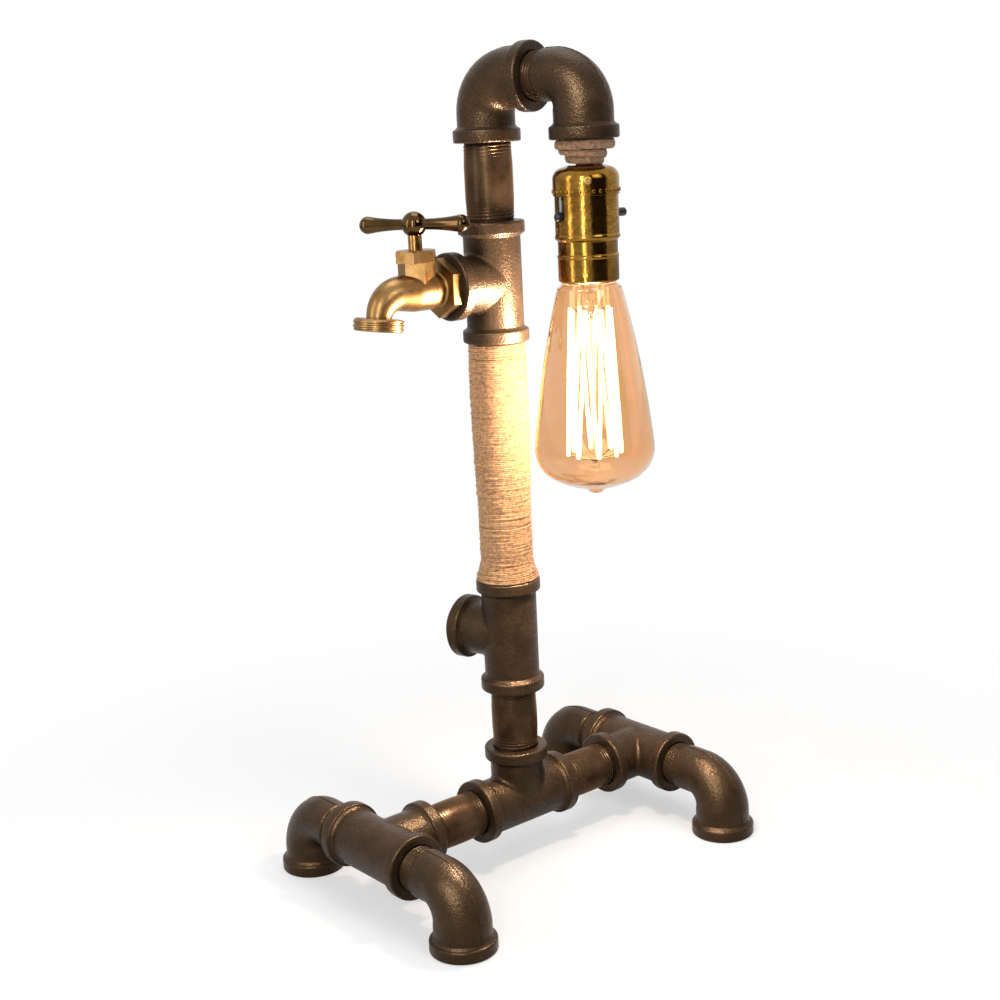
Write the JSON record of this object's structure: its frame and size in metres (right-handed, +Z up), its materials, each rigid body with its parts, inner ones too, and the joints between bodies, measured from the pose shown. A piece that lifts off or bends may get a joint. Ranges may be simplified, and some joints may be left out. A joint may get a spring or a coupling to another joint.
{
  "type": "table lamp",
  "caption": "Table lamp made of iron pipe fittings, with a twine wrapped column, a hose faucet at its side and a filament bulb that hangs from a short pipe arm.",
  "frame": {"origin": "on the floor, on the axis of the upright column, which is the middle of the base", "axes": "+Z up; X along the base with the faucet on -X; -Y to the front, where the arm and the bulb are; +Y to the back, where the cord leaves"},
  "size_m": [0.2392, 0.1843, 0.4668],
  "materials": {
    "cast_iron": "dark oiled malleable iron",
    "steel_pipe": "dark oiled steel pipe",
    "twine": "natural jute",
    "rubber": "black rubber",
    "faucet_brass": "cast brass, lightly polished",
    "valve_brass": "turned brass",
    "handle_metal": "dark polished metal",
    "holder_brass": "satin brass sheet",
    "contact_brass": "bright brass",
    "black_plastic": "black phenolic",
    "fibre": "grey insulating fibre",
    "screw_steel": "bright steel",
    "cap_metal": "nickel plated cap",
    "cap_glass": "black vitrite",
    "bulb_glass": "amber tinted clear glass",
    "stem_glass": "clear glass",
    "filament": "carbon filament",
    "support_wire": "dark wire",
    "fibre_washer": "black rubber washer"
  },
  "bodies": {
    "stand": {"base_centre_tee": "cast_iron", "left_cross_tee": "cast_iron", "right_cross_tee": "cast_iron", "foot_left_front": "cast_iron", "foot_left_back": "cast_iron", "foot_right_front": "cast_iron", "foot_right_back": "cast_iron", "base_nipple_left": "steel_pipe", "base_nipple_right": "steel_pipe", "lower_nipple": "steel_pipe", "lower_column_tee": "cast_iron", "column_pipe": "steel_pipe", "rope_wrap": "twine", "cord_grommet": "rubber", "upper_column_tee": "cast_iron", "upper_nipple": "steel_pipe", "top_elbow": "cast_iron", "arm_street_elbow": "cast_iron", "reducing_bushing": "cast_iron", "lamp_nipple": "steel_pipe", "nipple_locknut": "steel_pipe", "twine_collar": "twine", "faucet_body": "faucet_brass", "bonnet_nut": "faucet_brass", "stem_packing": "fibre_washer", "socket_cap": "holder_brass", "cap_set_screw": "screw_steel", "socket_shell": "holder_brass", "shell_liner": "fibre", "switch_body": "black_plastic", "terminal_screws": "contact_brass", "screw_shell": "contact_brass", "centre_contact": "contact_brass"},
    "valve_lift": {"seat_washer": "fibre_washer", "washer_holder": "valve_brass"},
    "valve_spindle": {"valve_stem": "valve_brass", "tee_handle": "handle_metal", "handle_set_screw": "screw_steel"},
    "switch_slide": {"push_bar": "black_plastic", "contact_bridge": "contact_brass"},
    "bulb": {"bulb_end_contact": "contact_brass", "bulb_cap_insulator": "cap_glass", "bulb_screw_cap": "cap_metal", "bulb_glass": "bulb_glass", "bulb_stem": "stem_glass", "upper_hooks": "support_wire", "lower_hooks": "support_wire", "bulb_filament": "filament"}
  },
  "joints": [
    {"name": "valve_rise", "type": "slide", "parent": "stand", "child": "valve_lift", "axis": [0, 0, 1], "range_m": [0, 0.006]},
    {"name": "handle_turn", "type": "hinge", "parent": "valve_lift", "child": "valve_spindle", "pos_m": [-0.0528, 0, 0.3397], "axis": [0, 0, 1], "range_deg": [0, 1085]},
    {"name": "switch_push", "type": "slide", "parent": "stand", "child": "switch_slide", "axis": [0.9903, -0.1392, 0], "range_m": [-0.005, 0]},
    {"name": "bulb_unscrew", "type": "slide", "parent": "stand", "child": "bulb", "axis": [0, 0, -1], "range_m": [0, 0.03]}
  ],
  "couplings": [
    {"joint": "handle_turn", "follows": "valve_rise", "rad_per_m": 3141.6}
  ]
}
